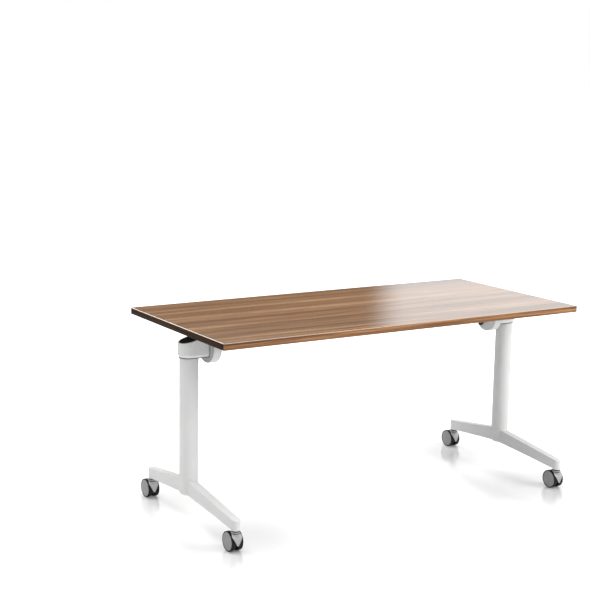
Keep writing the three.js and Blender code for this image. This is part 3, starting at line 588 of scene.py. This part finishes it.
def boss_of(side):
    """The round boss that carries the column's form down between a foot's arms."""
    def add(mesh):
        outline = [(radius * MM, height * MM) for radius, height in BOSS_OUTLINE]
        lathe_into(mesh, outline, upright(SIDES[side] * LEG_X, LEG_Y, 0), BOSS_SEGMENTS)
    return add


for side in SIDES:
    adopt(softened(side + "_foot", *FOOT_SOFTENING, boss_of(side)), side + "_foot")
    adopt(softened(side + "_head", *HEAD_SOFTENING), side + "_head")
    adopt(softened(side + "_drum", *DRUM_SOFTENING), side + "_drum")
for end, side in CORNERS:
    hood = "{}_{}_hood".format(end, side)
    adopt(softened(hood, *HOOD_SOFTENING), hood)


# Wheels and their caps; a rounding is a radius and a number of steps
WHEEL_LIP = 2.86 * MM
WHEEL_LIP_FOOT = 3.12 * MM
WHEEL_RECESS = 2.6 * MM
WHEEL_BORE = 3.25 * MM
WHEEL_ROUNDING = 3.2 * MM, 5
WHEEL_SEGMENTS = 72
CAP_WALL = 0.62
CAP_CHAMFER = 0.3 * MM
CAP_RIM = 0.5 * MM
CAP_RIM_DROP = 0.7 * MM
CAP_GROOVE, CAP_GROOVE_HALF, CAP_GROOVE_DEPTH = 0.62, 0.024, 0.5 * MM
CAP_STEPS = 22


def wheel_piece(node, outward):
    low, high = box_of(node)
    width = high.x - low.x
    radius = (high.z - low.z) / 2
    outer = high.x if outward > 0 else low.x
    middle = (low + high) / 2
    placing = facing(outward, outer, middle.y, middle.z)
    profile = rounded([
        ((radius, -width), 1.0),
        ((radius, 0.0), 1.0),
        ((radius - WHEEL_LIP, 0.0), 0.3),
        ((radius - WHEEL_LIP_FOOT, -WHEEL_RECESS), 0.2),
        ((WHEEL_BORE, -WHEEL_RECESS), 0.1),
        ((WHEEL_BORE, -width), 0.1),
    ], *WHEEL_ROUNDING)
    return turned(node + "_tyre", profile, placing, WHEEL_SEGMENTS)


def cap_piece(node, outward):
    """A crowned cap with a ring groove."""
    low, high = box_of(node)
    depth = high.x - low.x
    radius = (high.y - low.y) / 2
    inner = low.x if outward > 0 else high.x
    middle = (low + high) / 2
    placing = facing(outward, inner, middle.y, middle.z)
    edge = depth * CAP_WALL
    profile = [
        (0.0, 0.0), (radius - CAP_CHAMFER, 0.0), (radius, CAP_CHAMFER),
        (radius, edge - CAP_RIM_DROP),
    ]
    for step in range(CAP_STEPS + 1):
        share = 1 - step / CAP_STEPS
        rim = CAP_RIM if step == 0 else 0
        height = edge + (depth - edge) * math.cos(share * math.pi / 2) - rim
        dip = CAP_GROOVE_DEPTH if abs(share - CAP_GROOVE) < CAP_GROOVE_HALF else 0
        profile.append((share * (radius - CAP_RIM), height - dip))
    return turned(node + "_disc", profile, placing, WHEEL_SEGMENTS)


for end, side in CORNERS:
    for which in ("outer", "inner"):
        outward = SIDES[side] if which == "outer" else -SIDES[side]
        stem = "{}_{}_{}".format(end, side, which)
        adopt(wheel_piece(stem + "_wheel", outward), stem + "_wheel")
        adopt(cap_piece(stem + "_cap", outward), stem + "_cap")


# Columns
COLUMN_WALL = 3 * MM
COLUMN_ROUNDING = 0.8 * MM, 3
COLUMN_SEGMENTS = 96


def column_piece(node):
    low, high = box_of(node)
    radius = (high.x - low.x) / 2
    bore = radius - COLUMN_WALL
    middle = (low + high) / 2
    length = high.z - low.z
    profile = rounded([
        ((radius, 0.0), 1.0), ((radius, length), 1.0), ((bore, length), 0.5), ((bore, 0.0), 0.5),
    ], *COLUMN_ROUNDING)
    return turned(node + "_tube", profile, upright(middle.x, middle.y, low.z), COLUMN_SEGMENTS)


for side in SIDES:
    adopt(column_piece(side + "_column"), side + "_column")


# Edge bands with a rounded arris
ARRIS_RADIUS = 1.9 * MM
ARRIS_STEPS = 5


def band_piece(node):
    low, high = box_of(node)
    mesh = bmesh.new()
    bmesh.ops.create_cube(mesh, size=1)
    for vert in mesh.verts:
        for i in range(3):
            vert.co[i] = low[i] if vert.co[i] < 0 else high[i]
    along = 0 if high.x - low.x > high.y - low.y else 1
    across = 1 - along
    outside = low[across] if abs(low[across]) > abs(high[across]) else high[across]

    def outer(edge):
        return all(abs(v.co[across] - outside) < SAME_PLACE for v in edge.verts)

    chosen = [e for e in mesh.edges if outer(e)]
    if along == 1:
        chosen = [e for e in chosen if abs(e.verts[0].co.z - e.verts[1].co.z) < SAME_PLACE]
    bmesh.ops.bevel(
        mesh, geom=chosen, offset=ARRIS_RADIUS, segments=ARRIS_STEPS, profile=0.5, affect="EDGES")
    return as_object(node + "_strip", mesh)


for band in ("front", "back", "left", "right"):
    adopt(band_piece(band + "_edge_band"), band + "_edge_band")


# Release knobs with flutes
KNOB_GRIP = 10.5 * MM
KNOB_NECK = 7 * MM
KNOB_BORE = 4.1 * MM
KNOB_BORE_DEPTH = 11 * MM
KNOB_ROUNDING = 2.6 * MM, 4
KNOB_SEGMENTS = 72
FLUTES = 18
FLUTE_DEPTH = 0.5 * MM
FLUTED_FROM = 0.86


def knob_piece(node, sign):
    low, high = box_of(node)
    middle = (low + high) / 2
    radius = (high.z - low.z) / 2
    length = high.x - low.x
    inner = low.x if sign > 0 else high.x
    placing = facing(sign, inner, middle.y, middle.z)
    floor = length - KNOB_BORE_DEPTH
    profile = rounded([
        ((0.0, 0.0), 0), ((radius, 0.0), 1.0), ((radius, KNOB_GRIP), 0.6),
        ((KNOB_NECK, KNOB_GRIP), 0.3), ((KNOB_NECK, length), 0.3),
        ((KNOB_BORE, length), 0.1), ((KNOB_BORE, floor), 0), ((0.0, floor), 0),
    ], *KNOB_ROUNDING)
    mesh = bmesh.new()
    lathe_into(mesh, profile, placing, KNOB_SEGMENTS)
    for vert in mesh.verts:
        offset = vert.co - Vector((vert.co.x, middle.y, middle.z))
        if offset.length > radius * FLUTED_FROM:
            angle = math.atan2(offset.z, offset.y)
            dip = FLUTE_DEPTH * (0.5 - 0.5 * math.cos(FLUTES * angle))
            vert.co = vert.co - offset.normalized() * dip
    return as_object(node + "_grip", mesh)


for side, sign in SIDES.items():
    adopt(knob_piece(side + "_lock_knob", sign), side + "_lock_knob")


# Lock springs, coiled within each spring's box
SPRING_WIRE_R = 0.7 * MM
SPRING_TURNS = 4
SPRING_STEPS = 24
SPRING_SIDES = 10


def spring_piece(node):
    low, high = box_of(node)
    middle = (low + high) / 2
    coil = (high.z - low.z) / 2 - SPRING_WIRE_R
    start, end = low.x + SPRING_WIRE_R, high.x - SPRING_WIRE_R
    along = Vector((1, 0, 0))
    mesh = bmesh.new()
    rings = []
    total = SPRING_TURNS * SPRING_STEPS
    for step in range(total + 1):
        angle = 2 * math.pi * step / SPRING_STEPS
        out = Vector((0, math.cos(angle), math.sin(angle)))
        station = start + (end - start) * step / total
        centre = Vector((station, middle.y, middle.z)) + out * coil
        ring = []
        for i in range(SPRING_SIDES):
            turn = 2 * math.pi * i / SPRING_SIDES
            spoke = out * math.cos(turn) + along * math.sin(turn)
            ring.append(mesh.verts.new(centre + spoke * SPRING_WIRE_R))
        rings.append(ring)
    for here, there in zip(rings, rings[1:]):
        for i in range(SPRING_SIDES):
            j = (i + 1) % SPRING_SIDES
            mesh.faces.new((here[i], here[j], there[j], there[i]))
    mesh.faces.new(rings[0])
    mesh.faces.new(rings[-1])
    return as_object(node + "_coil", mesh)


for side, sign in SIDES.items():
    spring = side + "_lock_spring"
    low, high = box_of(spring)
    coil = adopt(spring_piece(spring), spring)
    collar = (low + high) / 2
    collar.x = low.x if sign < 0 else high.x
    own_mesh(coil)


# Screws that hold each drum's flange to the worktop
FLANGE = 5 * MM
SCREW_X = (606 * MM, 626 * MM)
SCREW_Y = (LEG_Y - 44 * MM, LEG_Y + 44 * MM)
SCREW_R, SCREW_HEIGHT, SCREW_SOCKET = 4.2 * MM, 2.4 * MM, 1.9 * MM
SCREW_SEGMENTS = 36
DOWN = Matrix.Rotation(math.radians(90), 4, "Y")
# A domed head with a round socket, as shares of the radius, the socket and the height
DOME = ((1.0, 0.0), (1.0, 0.25), (0.93, 0.55), (0.78, 0.86))
SOCKET = ((1.1, 1.0), (1.0, 0.96), (1.0, 0.35))
SOCKET_FLOOR = 0.3


def screw_into(mesh, place):
    profile = [(0.0, 0.0)]
    profile += [(SCREW_R * far, SCREW_HEIGHT * up) for far, up in DOME]
    profile += [(SCREW_SOCKET * far, SCREW_HEIGHT * up) for far, up in SOCKET]
    profile.append((0.0, SCREW_HEIGHT * SOCKET_FLOOR))
    lathe_into(mesh, profile, Matrix.Translation(place) @ DOWN, SCREW_SEGMENTS)


for side, sign in SIDES.items():
    mesh = bmesh.new()
    for x in SCREW_X:
        for y in SCREW_Y:
            screw_into(mesh, (sign * x, y, UNDERSIDE - FLANGE))
    attach(as_object(side + "_flange_screws", mesh), side + "_drum", LOOKS["zinc"])


# A dark ring under each head, round its foot and the column: painted shade for the head's underside
SHADE_RING_HALF = 37.4 * MM
SHADE_RING_REACH = 65.2 * MM
SHADE_RING_BORE = 35.15 * MM
SHADE_RING_DEPTH = 2 * MM
SHADE_RING_STEPS = 120


def shade_ring_reach(angle):
    """The outline's reach from the column's axis; angle 0 points to the table's middle."""
    across, inward = abs(math.sin(angle)), math.cos(angle)
    if inward <= 0:
        return SHADE_RING_HALF
    return min(SHADE_RING_HALF / max(across, 1e-6), SHADE_RING_REACH / inward)


def shade_ring_piece(side):
    sign = SIDES[side]
    mesh = bmesh.new()
    loops = []
    for outside, drop in ((True, 0.0), (True, SHADE_RING_DEPTH), (False, SHADE_RING_DEPTH), (False, 0.0)):
        loop = []
        for step in range(SHADE_RING_STEPS):
            angle = 2 * math.pi * step / SHADE_RING_STEPS
            far = shade_ring_reach(angle) if outside else SHADE_RING_BORE
            x = sign * (LEG_X - far * math.cos(angle))
            loop.append(mesh.verts.new((x, LEG_Y + far * math.sin(angle), HEAD_BASE - drop)))
        loops.append(loop)
    for here, there in zip(loops, loops[1:] + loops[:1]):
        for step in range(SHADE_RING_STEPS):
            after = (step + 1) % SHADE_RING_STEPS
            mesh.faces.new((here[step], here[after], there[after], there[step]))
    return as_object(side + "_head_shade_ring", mesh)


for side in SIDES:
    # The ring paints the shade under the head
    attach(shade_ring_piece(side), side + "_head_cover", LOOKS["painted_shade_ring"])


# Grey ring round each index disc, in the gap to the drum's cup: painted shade for the dark line of
# the gap
GAP_SHADE_OUTLINE = (
    (60.15, -6.0), (60.8, -6.0), (60.8, 0.4), (60.5, 0.7), (58.5, 0.7), (58.5, 0.05), (60.15, 0.05),
)
GAP_SHADE_SEGMENTS = 96

for side, sign in SIDES.items():
    outline = [(radius * MM, along * MM) for radius, along in GAP_SHADE_OUTLINE]
    placing = facing(sign, sign * DISC_FACE, LEG_Y, PIVOT_Z)
    ring = turned(side + "_gap_shade_ring", outline, placing, GAP_SHADE_SEGMENTS)
    # The hoods' grey plastic, used here as painted shade in the gap
    attach(ring, side + "_index_disc", LOOKS["grey_plastic"])


# Black ring in each caster's collar groove
COLLAR_INNER, COLLAR_OUTER = 12.6 * MM, 14.5 * MM
COLLAR_LOW, COLLAR_HIGH = 68.0 * MM, 70.8 * MM
COLLAR_ROUNDING = 0.6 * MM, 2
COLLAR_SEGMENTS = 56

for end, side in CORNERS:
    corner = "{}_{}".format(end, side)
    middle = middle_of(corner + "_stem")
    profile = rounded([
        ((COLLAR_INNER, COLLAR_LOW), 0), ((COLLAR_OUTER, COLLAR_LOW), 1),
        ((COLLAR_OUTER, COLLAR_HIGH), 1), ((COLLAR_INNER, COLLAR_HIGH), 0),
    ], *COLLAR_ROUNDING)
    placing = upright(middle.x, middle.y, 0)
    ring = turned(corner + "_collar_ring", profile, placing, COLLAR_SEGMENTS)
    attach(ring, corner + "_hood", LOOKS["black_plastic"])


# World: white to the camera, and white with a brown card behind the table to glossy rays
WORLD_LEVEL = 0.66
CARD_COLOUR = (0.235, 0.15, 0.094)
CARD_RIGHT = (math.radians(36.4), math.radians(34.6))
CARD_LEFT = (math.radians(-40), math.radians(-25))
CARD_TOP = (math.sin(math.radians(15.5)), math.sin(math.radians(11.8)))


def make_world():
    world = bpy.data.worlds.new("studio")
    SCENE.world = world
    world.use_nodes = True
    world.node_tree.nodes.clear()
    g = Graph(tree=world.node_tree)
    path = g.node("LightPath")
    direction = g.point("Generated")
    azimuth = g.maths("ARCTAN2", direction["X"], direction["Y"])
    beside = g.maths("MULTIPLY", g.span(azimuth, *CARD_RIGHT), g.span(azimuth, *CARD_LEFT))
    card = g.maths("MULTIPLY", beside, g.span(direction["Z"], *CARD_TOP))
    mirrored = g.mix(card, WHITE, CARD_COLOUR)

    def background(colour, strength):
        made = g.node("Background")
        g.put(made.inputs["Color"], colour)
        g.put(made.inputs["Strength"], strength)
        return made.outputs[0]

    def choose(ray, otherwise, chosen):
        made = g.node("MixShader")
        for socket, value in zip(made.inputs, (path.outputs[ray], otherwise, chosen)):
            g.put(socket, value)
        return made.outputs[0]

    light = choose("Is Glossy Ray", background((*WHITE, 1), WORLD_LEVEL), background(mirrored, 1.0))
    studio = choose("Is Camera Ray", light, background((*WHITE, 1), 1.0))
    g.put(g.node("OutputWorld").inputs[0], studio)


# Floor: a glossy pale sheet that turns white to the camera; near each foot's casters it glows less,
# which lets its real shadow and reflection show and also paints shade there
FLOOR_HALF = 60
FLOOR_COLOUR = (0.86, 0.86, 0.86, 1)
FLOOR_ROUGHNESS, FLOOR_SPECULAR = 0.2, 0.7
FLOOR_COAT, FLOOR_COAT_ROUGHNESS = 0.7, 0.11
FLOOR_GLOW_NEAR = 0.36
FLOOR_GLOW_REACH = (1.3, 3.0)
# Painted shade: the floor's lower glow near the casters
CASTER_SHADE_GLOW = 0.06
CASTER_SHADE_REACH = (0.10, 0.42)
CASTER_MIDDLE_Y = (REAR_AXLE.y + FRONT_AXLE.y) / 2
CASTER_HALF_Y = (REAR_AXLE.y - FRONT_AXLE.y) / 2


def make_floor():
    h = FLOOR_HALF
    data = bpy.data.meshes.new("floor")
    data.from_pydata([(-h, -h, 0), (h, -h, 0), (h, h, 0), (-h, h, 0)], [], [(0, 1, 2, 3)])
    floor = bpy.data.objects.new("floor", data)
    SCENE.collection.objects.link(floor)
    g = Graph("floor")
    g.surface(base_color=FLOOR_COLOUR, roughness=FLOOR_ROUGHNESS, specular_ior_level=FLOOR_SPECULAR)
    g.surface(coat_weight=FLOOR_COAT, coat_roughness=FLOOR_COAT_ROUGHNESS)
    far = g.vectors("LENGTH", g.node("TexCoord").outputs["Object"])["Value"]
    away = g.span(far, *FLOOR_GLOW_REACH)
    point = g.point()
    beside = g.maths("SUBTRACT", g.maths("ABSOLUTE", point["X"]), FRONT_AXLE.x)
    middle = g.maths("ABSOLUTE", g.maths("SUBTRACT", point["Y"], CASTER_MIDDLE_Y))
    ahead = g.maths("SUBTRACT", middle, CASTER_HALF_Y)
    square = g.maths("ADD", g.maths("MULTIPLY", beside, beside), g.maths("MULTIPLY", ahead, ahead))
    apart = g.maths("SQRT", square)
    # Painted shade: less glow within reach of each foot's line of casters
    caster_shade = g.span(apart, *CASTER_SHADE_REACH, CASTER_SHADE_GLOW, FLOOR_GLOW_NEAR)
    share = g.maths("MAXIMUM", caster_shade, away)
    seen = g.node("LightPath").outputs["Is Camera Ray"]
    glow = g.node("Emission")
    g.put(glow.inputs["Strength"], g.maths("MULTIPLY", share, seen))
    both = g.node("AddShader")
    g.put(both.inputs[0], g.shader.outputs[0])
    g.put(both.inputs[1], glow.outputs[0])
    g.put(g.tree.nodes["Material Output"].inputs["Surface"], both.outputs[0])
    data.materials.append(g.material)


# Square lamps: name, place, the point aimed at, side and power in watts
LAMPS = (
    ("key", (3.2, -3.6, 3.4), (0, 0, 0.4), 2.6, 150),
    ("overhead", (-0.4, 0.6, 4.2), (0, 0, 0.6), 3.5, 185),
)


def make_lamp(name, place, aim, size, power):
    data = bpy.data.lights.new(name, "AREA")
    data.shape = "RECTANGLE"
    data.size = data.size_y = size
    data.energy = power
    lamp = bpy.data.objects.new(name, data)
    SCENE.collection.objects.link(lamp)
    lamp.location = place
    lamp.visible_camera = False
    lamp.rotation_euler = (Vector(aim) - Vector(place)).to_track_quat("-Z", "Y").to_euler()


make_camera()
make_world()
make_floor()
for lamp_values in LAMPS:
    make_lamp(*lamp_values)
SCENE.view_settings.view_transform = "Standard"
